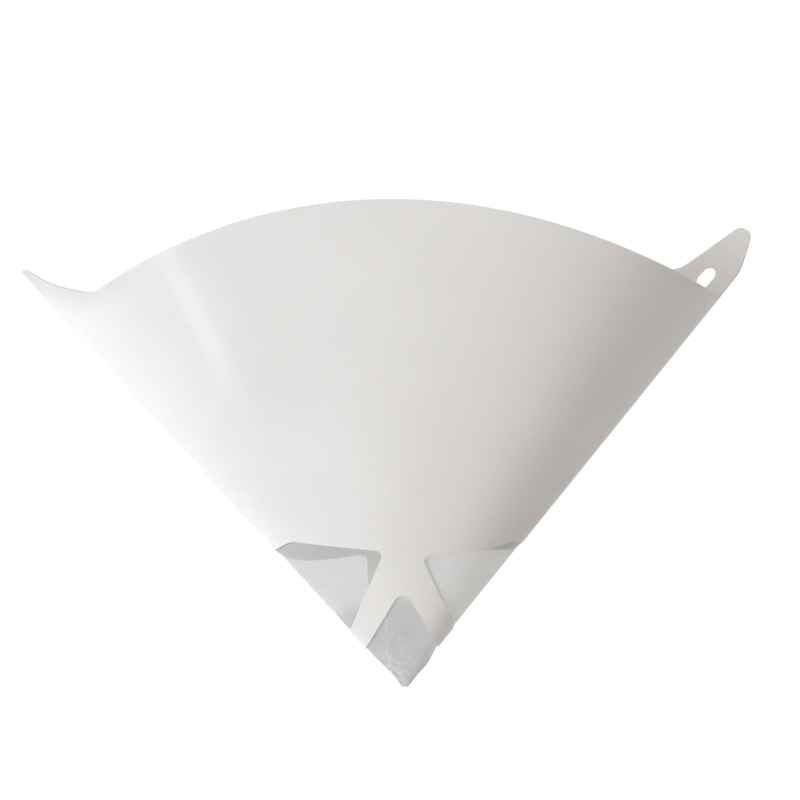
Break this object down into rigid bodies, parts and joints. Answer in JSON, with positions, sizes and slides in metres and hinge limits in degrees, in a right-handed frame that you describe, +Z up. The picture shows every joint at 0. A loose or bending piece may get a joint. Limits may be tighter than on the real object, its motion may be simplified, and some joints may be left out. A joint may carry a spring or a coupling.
{
  "type": "paint strainer",
  "caption": "Folded paper cone strainer with a fine nylon net glued inside its cut-out tip and an ear at each side of its mouth.",
  "frame": {"origin": "on the cone's axis, above the net's tip, level with the centre of the back ear's hanging hole", "axes": "+Z up along the axis, away from the tip; +X from the left crease to the right crease as seen from the front; the front panel faces -Y"},
  "size_m": [0.2035, 0.0742, 0.1352],
  "materials": {
    "paper": "smooth white coated paper with a soft satin sheen",
    "net": "fine pale grey nylon monofilament net, half see-through"
  },
  "bodies": {
    "root": {"paper_cone": "paper", "filter_mesh": "net"}
  },
  "joints": []
}
